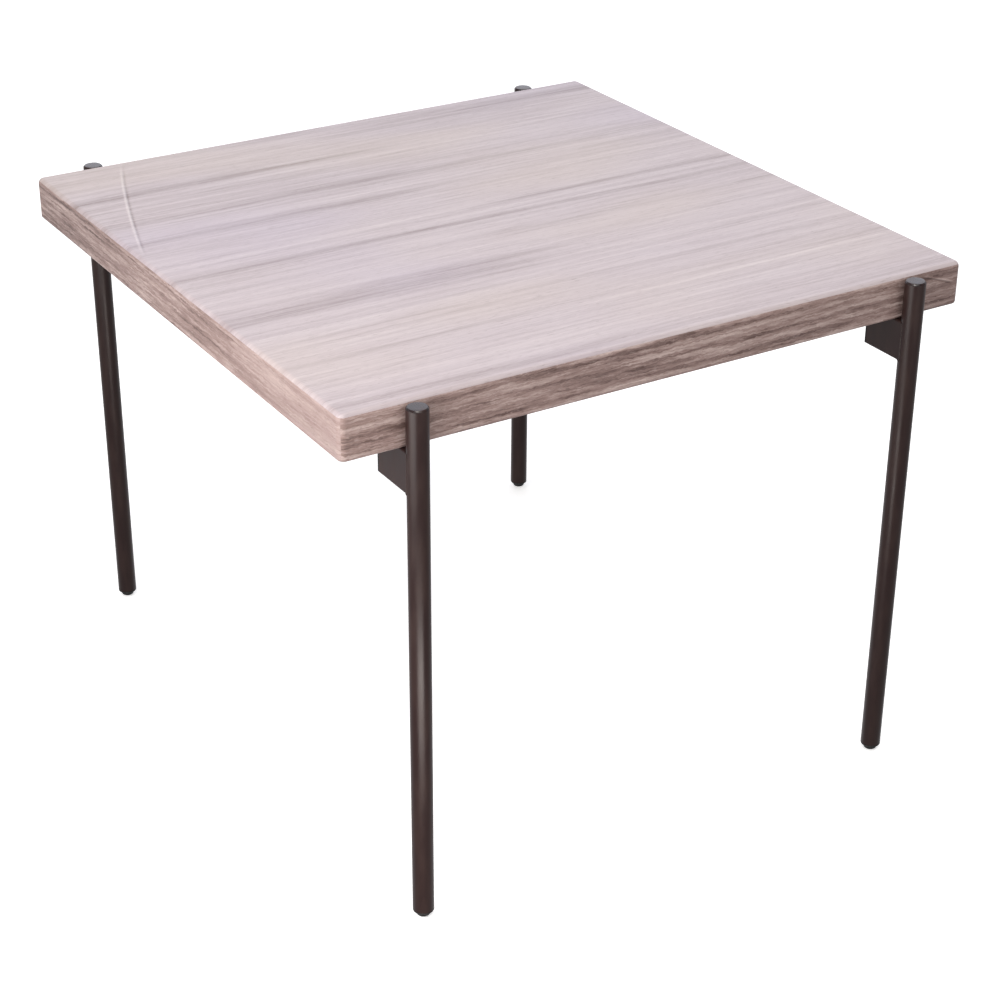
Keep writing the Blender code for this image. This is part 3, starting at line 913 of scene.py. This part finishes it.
@dataclass
class WrappedTop:
    """Board top: a core wrapped in printed foil, with a backing sheet under it."""

    corner_radius: float = 6.0 * MM
    top_radius: float = 5.0 * MM
    bottom_radius: float = 2.5 * MM
    skin: float = 0.5 * MM
    grid: float = 20.0 * MM
    support: float = 0.6 * MM
    lap: float = 0.45
    # How near a crease the mesh is cut finer, with how many cuts, and the edge too short to cut.
    fold_cuts: tuple[tuple[float, int], ...] = ((24 * MM, 3), (9 * MM, 3), (4 * MM, 2))
    finest: float = 0.8 * MM

    def __post_init__(self) -> None:
        """Read the foil's corners from the frame."""
        self.low, self.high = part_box("top_foil")

    def creases(self) -> tuple[Crease, ...]:
        """Give the folds in the foil: one on the face at the back left, one on the front edge."""
        face = self.high.z
        front = self.low.y
        return (
            Crease(
                Vector((-0.2180, 0.2950, face)), Vector((-0.2620, 0.1850, face)),
                Vector((-0.2960, 0.0600, face)), 0.45 * MM, 1.2 * MM,
            ),
            Crease(
                Vector((0.2550, front, face - 5.0 * MM)), Vector((0.2740, front, face - 10.0 * MM)),
                Vector((0.2945, front, face - 18.0 * MM)), 0.30 * MM, 0.9 * MM,
            ),
        )

    def block(self) -> bmesh.types.BMesh:
        """Make the outside of the top, rounded all round and open underneath."""
        shape = bmesh.new()
        bmesh.ops.create_cube(shape, size=1.0)
        bmesh.ops.scale(shape, vec=self.high - self.low, verts=shape.verts)
        bmesh.ops.translate(shape, vec=(self.high + self.low) / 2, verts=shape.verts)
        upright = [e for e in shape.edges if abs(e.verts[0].co.z - e.verts[1].co.z) > SAME_PLACE]
        round_edges(shape, upright, self.corner_radius, 10)
        for height, radius, segments in (
            (self.high.z, self.top_radius, 12),
            (self.low.z, self.bottom_radius, 8),
        ):
            rim = [e for e in shape.edges if all(abs(v.co.z - height) < SAME_PLACE for v in e.verts)]
            round_edges(shape, rim, radius, segments)
        under = [f for f in shape.faces if all(abs(v.co.z - self.low.z) < SAME_PLACE for v in f.verts)]
        bmesh.ops.delete(shape, geom=under, context="FACES")
        return shape

    def divide(self, shape: bmesh.types.BMesh) -> None:
        """Cut the flat faces into a grid, with narrow strips beside the rounded edges.

        Args:
            shape: The foil's bmesh.
        """
        cuts: list[tuple[Vector, Vector]] = []
        for axis in (0, 1):
            normal = Vector((axis == 0, axis == 1, 0))
            reach = self.high[axis] - self.corner_radius - self.support
            lines = int(reach // self.grid)
            cuts += [(normal * self.grid * line, normal) for line in range(-lines, lines + 1)]
            cuts += [(normal * side * reach, normal) for side in (-1, 1)]
        upward = Vector((0, 0, 1))
        for height in (
            self.high.z - self.top_radius - self.support,
            self.low.z + self.bottom_radius + self.support,
            self.low.z + 18 * MM,
        ):
            cuts.append((upward * height, upward))
        for place, normal in cuts:
            everything = shape.verts[:] + shape.edges[:] + shape.faces[:]
            bmesh.ops.bisect_plane(
                shape, geom=everything, dist=MERGE_DISTANCE, plane_co=place, plane_no=normal
            )

    def fold(self, shape: bmesh.types.BMesh, crease: Crease) -> None:
        """Refine the mesh along a crease, raise it, and store a painted highlight on its ridge and painted
        shade in its hollow.

        Args:
            shape: The foil's bmesh.
            crease: The fold to press into it.
        """
        for reach, cuts in self.fold_cuts:
            near = {
                edge
                for face in shape.faces
                if crease.reaches(face.calc_center_median(), reach)
                for edge in face.edges
                if edge.calc_length() > self.finest
            }
            bmesh.ops.subdivide_edges(shape, edges=list(near), cuts=cuts, use_grid_fill=True)
        shape.normal_update()
        layer = shape.verts.layers.float[FOLD_LIGHT_AND_SHADE_MAP]
        near = [vertex for vertex in shape.verts if crease.reaches(vertex.co, 8 * MM)]
        raised = [(vertex, crease.profile(vertex.co), vertex.normal.copy()) for vertex in near]
        for vertex, (ridge, hollow), outward in raised:
            vertex.co += outward * (ridge - 0.8 * hollow) * crease.height
            # Painted light on the fold: the ridge is painted lighter and the hollow darker, on top of the
            # shading the raised shape gets from the lamps.
            vertex[layer] = 0.9 * ridge - 0.6 * hollow

    def grain_place(self, point: Vector, strip: int) -> tuple[float, float]:
        """Give a point's place along and across the grain of the printed foil.

        Args:
            point: A corner of the foil's mesh.
            strip: 0 for the face, which laps on to the rounded edge, or 1 to 4 for an edge strip.

        Returns:
            Metres along and across the grain. Each strip has its own metre of the print.
        """
        side_x, side_y = math.copysign(1.0, point.x), math.copysign(1.0, point.y)
        if strip == 0:
            drop = min(max(self.high.z - point.z, 0.0), self.top_radius) / self.top_radius
            angle = math.acos(1.0 - drop)
            over_x = max(abs(point.x) - self.high.x + self.top_radius, 0.0)
            over_y = max(abs(point.y) - self.high.y + self.top_radius, 0.0)
            lap = self.top_radius * (angle - math.sin(angle)) / max(math.hypot(over_x, over_y), SAME_PLACE)
            return point.x + side_x * over_x * lap, point.y + side_y * over_y * lap
        over_x = abs(point.x) - self.high.x + self.corner_radius
        over_y = abs(point.y) - self.high.y + self.corner_radius
        turn = math.atan2(max(over_y, 0.0), max(over_x, SAME_PLACE))
        if strip <= 2:
            corner = self.high.x - self.corner_radius + self.corner_radius * (math.pi / 2 - turn)
            along = side_x * corner if over_x > 0.0 else point.x
        else:
            corner = self.high.y - self.corner_radius + self.corner_radius * turn
            along = side_y * corner if over_y > 0.0 else point.y
        rise = point.z - self.low.z
        if rise < self.bottom_radius:
            rise = self.bottom_radius * (1.0 - math.asin(1.0 - max(rise, 0.0) / self.bottom_radius))
        return along + strip, rise

    def lay_grain(self, shape: bmesh.types.BMesh) -> None:
        """Map the print on the foil, one strip for the face and one for each edge.

        Args:
            shape: The foil's bmesh.
        """
        layer = shape.loops.layers.uv.new(GRAIN_MAP)
        for face in shape.faces:
            middle = face.calc_center_median()
            strip = 0
            if middle.z < self.high.z - self.top_radius * self.lap:
                if abs(middle.y) - self.high.y > abs(middle.x) - self.high.x:
                    strip = 1 if middle.y < 0 else 2
                else:
                    strip = 3 if middle.x < 0 else 4
            face.material_index = min(strip, 1)
            for loop in face.loops:
                loop[layer].uv = self.grain_place(loop.vert.co, strip)

    def wrap(self) -> bpy.types.Object:
        """Make the foil as one thin shell."""
        shape = self.block()
        self.divide(shape)
        self.lay_grain(shape)
        shape.verts.layers.float.new(FOLD_LIGHT_AND_SHADE_MAP)
        for crease in self.creases():
            self.fold(shape, crease)
        piece = publish(shape, "wrapped_foil", (TOP_FOIL, EDGE_FOIL), TABLE_BODY, ("top_foil",))
        wall = piece.modifiers.new("foil_thickness", "SOLIDIFY")
        wall.thickness = self.skin
        wall.offset = -1.0
        wall.use_even_offset = True
        return piece

    def build(self) -> None:
        """Wrap the top and dress the board and the sheet that it hides."""
        self.wrap()
        dress_node("top_core", FIBREBOARD)
        dress_node("underside_sheet", PAPER)


# ---------------------------------------------------------------------------------------------
# Legs and feet
# ---------------------------------------------------------------------------------------------


@dataclass
class LegStation:
    """One leg with its cap, bracket, screws, foot insert and levelling glide."""

    place: Place
    wall: float = 1.5 * MM
    clearance: float = 0.3 * MM
    cap_chamfer: float = 1.1 * MM
    tube_edge: float = 0.2 * MM
    stud_pitch: float = 1.0 * MM
    socket_flats: float = 4.0 * MM
    socket_depth: float = 2.0 * MM
    bead: float = 0.75 * MM
    ripple: float = 1.3 * MM
    nose_radius: float = 6.4 * MM

    def __post_init__(self) -> None:
        """Read the leg's place and size from the frame."""
        low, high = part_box(self.node("leg_tube"))
        self.axis = (low + high) / 2
        self.radius = (high.x - low.x) / 2
        self.bore = self.radius - self.wall
        self.glide_body = "glide_" + self.place.label

    def node(self, part: str) -> str:
        """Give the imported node's name for a part of this leg."""
        return part + "_" + self.place.label

    def stand(
        self,
        shape: bmesh.types.BMesh,
        part: str,
        finish: Finish,
        body: str = TABLE_BODY,
        centre: Vector | None = None,
        replaced: bool = True,
    ) -> None:
        """Put a part that was made about Z = 0 on its axis and hand it over.

        Args:
            shape: The part's bmesh, made about the origin's upright axis, +Y under the top.
            part: The part's name, without the corner.
            finish: Its finish.
            body: The body that it rides on.
            centre: A point on its axis, the leg's own unless another is given.
            replaced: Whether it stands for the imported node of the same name.
        """
        side_y = self.place.value[1]
        if side_y > 0:
            half_turn = Matrix.Rotation(math.pi, 3, "Z")
            bmesh.ops.rotate(shape, cent=(0, 0, 0), matrix=half_turn, verts=shape.verts)
        axis = centre or self.axis
        bmesh.ops.translate(shape, vec=(axis.x, axis.y, 0), verts=shape.verts)
        name = self.node(part)
        publish(shape, "fine_" + name, (finish,), body, (name,) if replaced else ())

    def tube(self) -> None:
        """Make the drawn steel tube, its ends just broken."""
        low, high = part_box(self.node("leg_tube"))
        top = high.z + self.clearance * 0.8
        edge = self.tube_edge
        profile = [
            *arc((self.radius - edge, top - edge), edge, 90, 0, 3),
            *arc((self.radius - edge, low.z + edge), edge, 0, -90, 3),
            (self.bore, low.z),
            (self.bore, top),
        ]
        self.stand(turned(profile, 96, closed=True), "leg_tube", LEG_PAINT)

    def cap(self) -> None:
        """Make the disc that closes the tube: a flat face, a chamfer with soft corners, a spigot."""
        low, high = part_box(self.node("leg_cap"))
        spigot = self.bore - self.clearance
        chamfer = self.cap_chamfer
        flange = high.z - 1.5 * MM
        soft = 0.2 * MM
        profile = [
            (0.0, high.z),
            (self.radius * 0.5, high.z),
            *arc((self.radius - chamfer - soft, high.z - soft), soft, 90, 45, 3),
            *arc((self.radius - soft, high.z - chamfer - soft), soft, 45, 0, 3),
            (self.radius, flange),
            (spigot, flange),
            (spigot, low.z + 0.4 * MM),
            (spigot - 0.4 * MM, low.z),
            (0.0, low.z),
        ]
        self.stand(turned(profile, 96), "leg_cap", CAP_PAINT_PAINTED_DARKER)

    def swell(self, along: float) -> float:
        """Give the weld bead's size at a place along its seam, as a share of its full size."""
        return 0.86 + 0.14 * abs(math.sin(math.pi * along / self.ripple))

    def weld(self) -> None:
        """Lay the weld between leg and bracket: two upright runs and one round the underside."""
        low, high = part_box(self.node("leg_bracket"))
        shape = bmesh.new()
        seam_x = self.radius - 0.35 * MM
        seam_y = 1.7 * MM
        for side in (-1, 1):
            rows = int((high.z - low.z) / self.ripple * 4)
            heights = [low.z + (high.z - low.z - self.bead) * row / rows for row in range(rows + 1)]
            waves = [self.bead * self.swell(height) for height in heights]
            profile = [(0.0, heights[0]), *zip(waves, heights), (0.0, heights[-1])]
            run = turned(profile, 12)
            bmesh.ops.translate(run, vec=(side * seam_x, seam_y, 0), verts=run.verts)
            joined(shape, run)
        arc_run = bmesh.new()
        reach = self.radius + 0.15 * MM
        first = math.atan2(seam_y, seam_x)
        ring = bmesh.ops.create_circle(arc_run, cap_ends=False, segments=12, radius=self.bead)["verts"]
        bmesh.ops.rotate(arc_run, cent=(0, 0, 0), matrix=Matrix.Rotation(math.pi / 2, 3, "X"), verts=ring)
        bmesh.ops.translate(arc_run, vec=(reach, 0, low.z + 0.1 * MM), verts=ring)
        bmesh.ops.rotate(arc_run, cent=(0, 0, 0), matrix=Matrix.Rotation(first, 3, "Z"), verts=ring)
        sweep = math.pi - 2 * first
        bmesh.ops.spin(
            arc_run, geom=arc_run.verts[:] + arc_run.edges[:], cent=(0, 0, 0), axis=(0, 0, 1), angle=sweep,
            steps=72,
        )
        bmesh.ops.holes_fill(arc_run, edges=[e for e in arc_run.edges if e.is_boundary], sides=0)
        for vertex in arc_run.verts:
            angle = math.atan2(vertex.co.y, vertex.co.x)
            spine = Vector((math.cos(angle) * reach, math.sin(angle) * reach, low.z + 0.1 * MM))
            vertex.co = spine + (vertex.co - spine) * self.swell(angle * reach)
        bmesh.ops.recalc_face_normals(arc_run, faces=arc_run.faces)
        joined(shape, arc_run)
        self.stand(shape, "weld", WELD_PAINT, replaced=False)

    def foot_insert(self) -> None:
        """Make the nylon insert pressed into the foot of the tube."""
        low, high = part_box(self.node("foot_insert"))
        spigot = self.bore - self.clearance
        bore = 3.3 * MM
        flange = low.z + 1.5 * MM
        rounding = 1.1 * MM
        profile = [
            (spigot - 0.5 * MM, high.z),
            (spigot, high.z - 0.5 * MM),
            (spigot, flange),
            *arc((self.radius - 0.2 * MM, flange - 0.2 * MM), 0.2 * MM, 90, 0, 3),
            *arc((self.radius - rounding, low.z + rounding), rounding, 0, -90, 6),
            (bore + 0.4 * MM, low.z),
            (bore, low.z + 0.4 * MM),
            (bore, high.z),
        ]
        self.stand(turned(profile, 96, closed=True), "foot_insert", NYLON)

    def glide(self) -> None:
        """Make the screw-down glide: a threaded stud and the round-nosed pad moulded on it."""
        low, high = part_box(self.node("glide_stud"))
        stud = threaded_rod((high.x - low.x) / 2, self.stud_pitch, low.z, high.z)
        self.stand(stud, "glide_stud", ZINC, self.glide_body)
        low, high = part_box(self.node("glide_pad"))
        radius = self.nose_radius
        bore = 3.3 * MM
        floor = 1.6 * MM
        neck = radius - 0.1 * MM
        shoulder = 0.3 * MM
        dome = 3.4 * MM
        profile = [
            (0.0, floor),
            (bore, floor),
            (bore, high.z - 0.2 * MM),
            (bore + 0.2 * MM, high.z),
            *arc((neck - shoulder, high.z - shoulder), shoulder, 90, 20, 4),
            *arc((radius - dome, low.z + dome), dome, 10, -90, 14),
            (0.0, low.z),
        ]
        self.stand(turned(profile, 64), "glide_pad", NYLON, self.glide_body)

    def screw(self, part: str) -> None:
        """Make a socket screw: a turned head with a hexagon socket, and a threaded shank.

        Args:
            part: The screw and its side, such as "bracket_screw outer".
        """
        low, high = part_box(self.node_side(part))
        axis = (low + high) / 2
        head_radius = (high.x - low.x) / 2
        head_top = low.z + 3.4 * MM
        bore = self.socket_flats / 2
        corner = self.socket_flats / math.sqrt(3)
        floor = low.z + self.socket_depth
        profile = [
            (0.0, head_top),
            *arc((head_radius - 0.2 * MM, head_top - 0.2 * MM), 0.2 * MM, 90, 0, 2),
            *arc((head_radius - 1.0 * MM, low.z + 1.0 * MM), 1.0 * MM, 0, -90, 6),
            (corner + 0.3 * MM, low.z),
            (bore, low.z + 0.3 * MM),
            (bore, floor),
            (0.0, floor + 0.5 * MM),
        ]
        head = turned(profile, 72)
        for vertex in head.verts:
            across = math.hypot(vertex.co.x, vertex.co.y)
            if abs(across - bore) < SAME_PLACE:
                angle = math.atan2(vertex.co.y, vertex.co.x) % (math.pi / 3) - math.pi / 6
                stretch = 1.0 / math.cos(angle)
                vertex.co.x *= stretch
                vertex.co.y *= stretch
        shank = threaded_rod(3.0 * MM, self.stud_pitch, head_top - 0.5 * MM, high.z)
        self.stand_side(joined(head, shank), part, axis)

    def node_side(self, part: str) -> str:
        """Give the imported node's name for a screw or an insert, such as "bracket_screw outer"."""
        kind, side = part.split()
        return self.node(kind) + "_" + side

    def stand_side(self, shape: bmesh.types.BMesh, part: str, centre: Vector) -> None:
        """Put a screw on its own axis and hand it over.

        Args:
            shape: The screw's bmesh, made about the origin's upright axis.
            part: The screw and its side, such as "bracket_screw outer".
            centre: A point on its axis.
        """
        bmesh.ops.translate(shape, vec=(centre.x, centre.y, 0), verts=shape.verts)
        name = self.node_side(part)
        publish(shape, "fine_" + name, (ZINC,), TABLE_BODY, (name,))

    def build(self) -> None:
        """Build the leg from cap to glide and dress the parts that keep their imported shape."""
        self.tube()
        self.cap()
        self.weld()
        self.foot_insert()
        self.glide()
        for side in ("outer", "inner"):
            self.screw("bracket_screw " + side)
            dress_node(self.node_side("board_insert " + side), ZINC)
        dress_node(self.node("leg_bracket"), LEG_PAINT)
        dress_node(self.node("bracket_plug"), NYLON)


# ---------------------------------------------------------------------------------------------
# Studio
# ---------------------------------------------------------------------------------------------


@dataclass(frozen=True)
class Softbox:
    """A square soft light that faces a point."""

    name: str
    place: Vector
    target: Vector
    size: tuple[float, float]
    watts: float
    colour: str

    def build(self) -> None:
        """Hang the light."""
        lamp = bpy.data.lights.new(self.name, "AREA")
        lamp.shape = "RECTANGLE"
        lamp.size, lamp.size_y = self.size
        lamp.energy = self.watts
        lamp.color = linear(self.colour)[:3]
        hung = bpy.data.objects.new(self.name, lamp)
        hung.location = self.place
        hung.rotation_euler = (self.target - self.place).to_track_quat("-Z", "Y").to_euler()
        hung.visible_camera = False
        bpy.context.scene.collection.objects.link(hung)


@dataclass(frozen=True)
class Studio:
    """Camera, pale floor and soft light."""

    azimuth: float = -31.706
    elevation: float = 27.738
    roll: float = -0.392
    aim: Vector = Vector((-0.0444, -0.1103, 0.2471))
    distance: float = 1.9993
    lens: float = 80.77
    floor_reach: float = 40.0
    floor_glow: float = 0.50
    white_wall: tuple[float, float, float] = (0.53, 0.85, 0.0)
    wall_light: tuple[float, float, float, float] = (0.78, 0.78, 0.81, 1.0)
    room_light: tuple[float, float, float, float] = (0.31, 0.31, 0.31, 1.0)

    def camera(self) -> None:
        """Set the camera by its direction round the table, its tilt and its distance."""
        turn, rise, roll = (math.radians(a) for a in (self.azimuth, self.elevation, self.roll))
        right = Vector((math.cos(turn), math.sin(turn), 0.0))
        back = Vector((math.sin(turn) * math.cos(rise), -math.cos(turn) * math.cos(rise), math.sin(rise)))
        upward = back.cross(right)
        leaned_right = right * math.cos(roll) - upward * math.sin(roll)
        leaned_up = upward * math.cos(roll) + right * math.sin(roll)
        data = bpy.data.cameras.new("studio_camera")
        data.lens = self.lens
        data.sensor_width = 36.0
        data.clip_start, data.clip_end = 0.05, 200.0
        camera = bpy.data.objects.new("studio_camera", data)
        turned_to = Matrix((leaned_right, leaned_up, back)).transposed()
        camera.matrix_world = Matrix.Translation(self.aim + back * self.distance) @ turned_to.to_4x4()
        bpy.context.scene.collection.objects.link(camera)
        bpy.context.scene.camera = camera

    def floor(self) -> None:
        """Lay a plain white floor, lit from below so that shadows on it stay faint."""
        shape = bmesh.new()
        bmesh.ops.create_grid(shape, x_segments=1, y_segments=1, size=self.floor_reach)
        mesh = bpy.data.meshes.new("studio_floor")
        shape.to_mesh(mesh)
        shape.free()
        acrylic = bpy.data.materials.new("back_lit_white_acrylic")
        acrylic.use_nodes = True
        shader = acrylic.node_tree.nodes["Principled BSDF"]
        shader.inputs["Base Color"].default_value = linear("#F4F4F3")
        shader.inputs["Roughness"].default_value = 0.95
        shader.inputs["Specular IOR Level"].default_value = 0.1
        shader.inputs["Emission Color"].default_value = linear("#FFFFFF")
        shader.inputs["Emission Strength"].default_value = self.floor_glow
        mesh.materials.append(acrylic)
        sweep = bpy.data.objects.new("studio_floor", mesh)
        sweep.visible_diffuse = sweep.visible_glossy = False
        bpy.context.scene.collection.objects.link(sweep)

    def surround(self) -> None:
        """Fill the room with even light, brighter towards the white wall at the back."""
        world = bpy.data.worlds.new("studio_room")
        world.use_nodes = True
        tree = world.node_tree
        ray = add_node(tree, "TexCoord").outputs["Generated"]
        inputs = {0: ray, 1: self.white_wall}
        rearward = add_node(tree, "VectorMath", inputs, operation="DOT_PRODUCT").outputs["Value"]
        amount = add_node(tree, "MapRange", {0: rearward, 1: 0.0, 2: 0.9}, **SMOOTH).outputs[0]
        inputs = {0: amount, 6: self.room_light, 7: self.wall_light}
        shade = add_node(tree, "Mix", inputs, data_type="RGBA").outputs[2]
        tree.links.new(shade, tree.nodes["Background"].inputs["Color"])
        bpy.context.scene.world = world

    def lights(self) -> tuple[Softbox, ...]:
        """Give the soft lights: overhead, a small key, the near corner, left, front and behind."""
        middle = Vector((0.0, 0.0, 0.45))
        corner = Vector((-0.30, -0.30, 0.45))
        foot = Vector((-0.24, -0.31, 0.10))
        return (
            Softbox("overhead_softbox", Vector((-0.40, -0.90, 2.60)), middle, (2.0, 2.0), 26.0, "#FFFCF9"),
            Softbox("key_softbox", Vector((-0.62, -1.00, 2.65)), middle, (0.35, 0.35), 11.0, "#FFFAF4"),
            Softbox("corner_softbox", Vector((-0.80, -0.42, 0.50)), corner, (0.7, 0.5), 3.8, "#FFFDFB"),
            Softbox("left_panel", Vector((-1.80, 0.40, 1.00)), middle, (1.2, 1.2), 11.0, "#FFFAF6"),
            Softbox("front_panel", Vector((0.30, -2.20, 1.00)), middle, (1.6, 1.0), 7.5, "#FFFAF6"),
            Softbox("low_panel", Vector((-0.40, -0.60, 0.02)), foot, (0.35, 0.12), 1.2, "#FFF6F0"),
            Softbox("rear_panel", Vector((1.50, 2.40, 1.90)), middle, (3.6, 2.6), 26.0, "#EEF0FF"),
        )

    def build(self) -> None:
        """Set up the whole studio."""
        self.camera()
        self.floor()
        self.surround()
        for light in self.lights():
            light.build()
        bpy.context.scene.view_settings.view_transform = "Standard"


def main() -> None:
    """Build the top, the four legs and the studio, in that order."""
    logging.basicConfig(level=logging.INFO, format="%(name)s: %(message)s")
    steps: list[tuple[str, Callable[[], None]]] = [("top", WrappedTop().build)]
    steps += [(place.label, LegStation(place).build) for place in Place]
    steps.append(("studio", Studio().build))
    for name, build in steps:
        build()
        LOG.info("%s is built", name)


if __name__ == "__main__":
    main()
